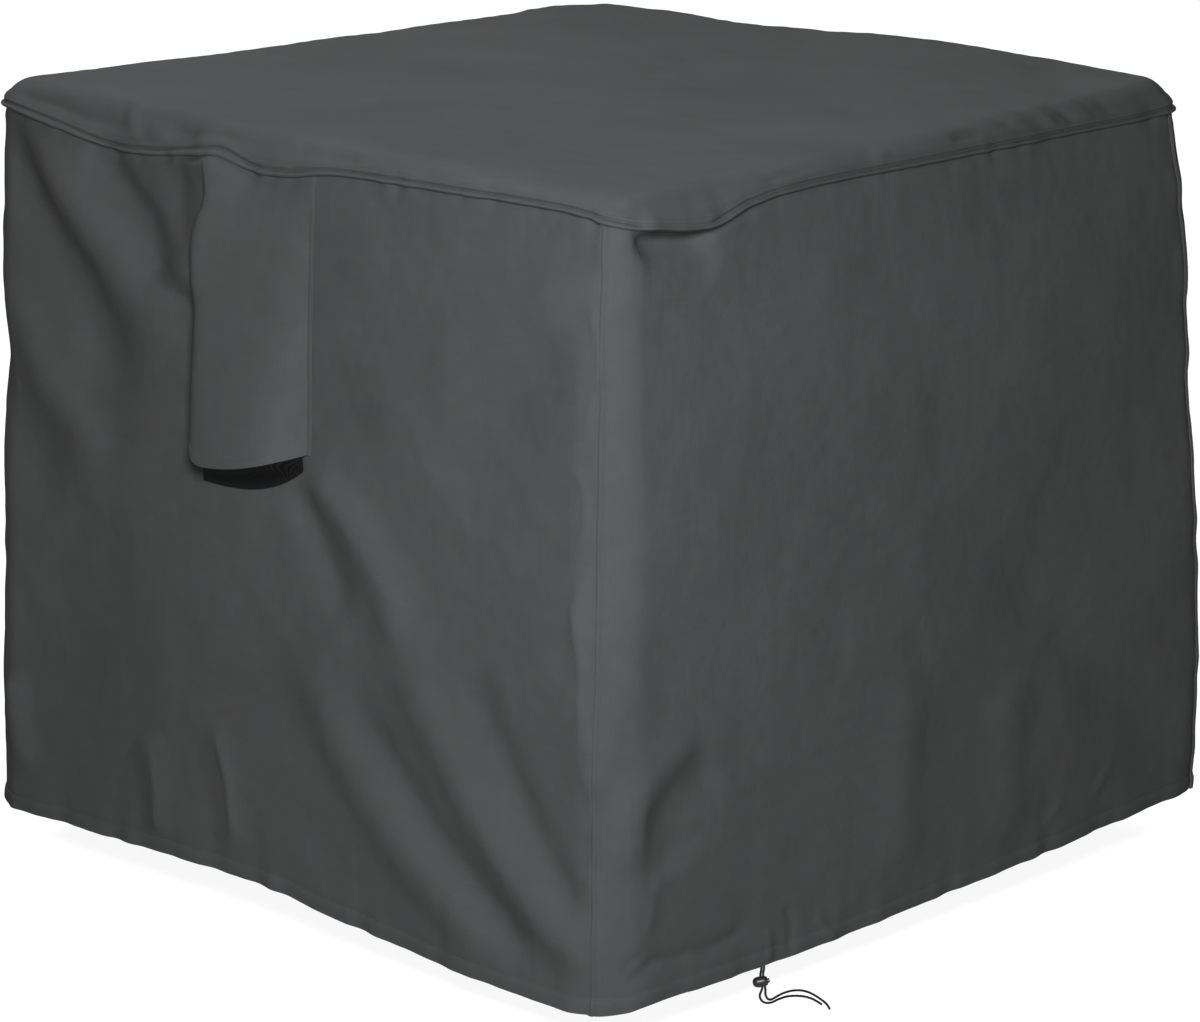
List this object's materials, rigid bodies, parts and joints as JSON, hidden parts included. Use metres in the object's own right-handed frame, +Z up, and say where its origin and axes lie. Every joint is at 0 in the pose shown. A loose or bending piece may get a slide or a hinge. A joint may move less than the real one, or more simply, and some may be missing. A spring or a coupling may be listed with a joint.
{
  "type": "fitted patio furniture cover",
  "caption": "Square fitted fabric cover for a bar-height patio set, with a hooded air vent and a hem drawcord held by a push-button cord lock.",
  "frame": {"origin": "underside of the cover's top, at its centre, where the furniture under it holds it up", "axes": "+Z up; -Y out of the front panel, the one with the air vent; +X out of the right panel, the one with the cord lock at its hem"},
  "size_m": [1.2969, 1.25, 1.0819],
  "materials": {
    "cover_cloth": "coated plain weave, soft satin",
    "vent_mesh": "open knitted mesh, matte",
    "drawcord": "braided, matte",
    "lock_plastic": "moulded, satin"
  },
  "bodies": {
    "cover": {"top_panel": "cover_cloth", "front_panel": "cover_cloth", "right_panel": "cover_cloth", "back_panel": "cover_cloth", "left_panel": "cover_cloth", "vent_hood": "cover_cloth", "vent_mesh": "vent_mesh", "drawcord_a": "drawcord", "drawcord_b": "drawcord", "cord_lock_body": "lock_plastic"},
    "lock_plunger": {"cord_lock_plunger": "lock_plastic"}
  },
  "joints": [
    {"name": "plunger_press", "type": "slide", "parent": "cover", "child": "lock_plunger", "axis": [-0.7084, -0.6841, -0.1736], "range_m": [0, 0.0024], "stiffness_N_per_m": 1000, "springref_m": -0.0005}
  ]
}
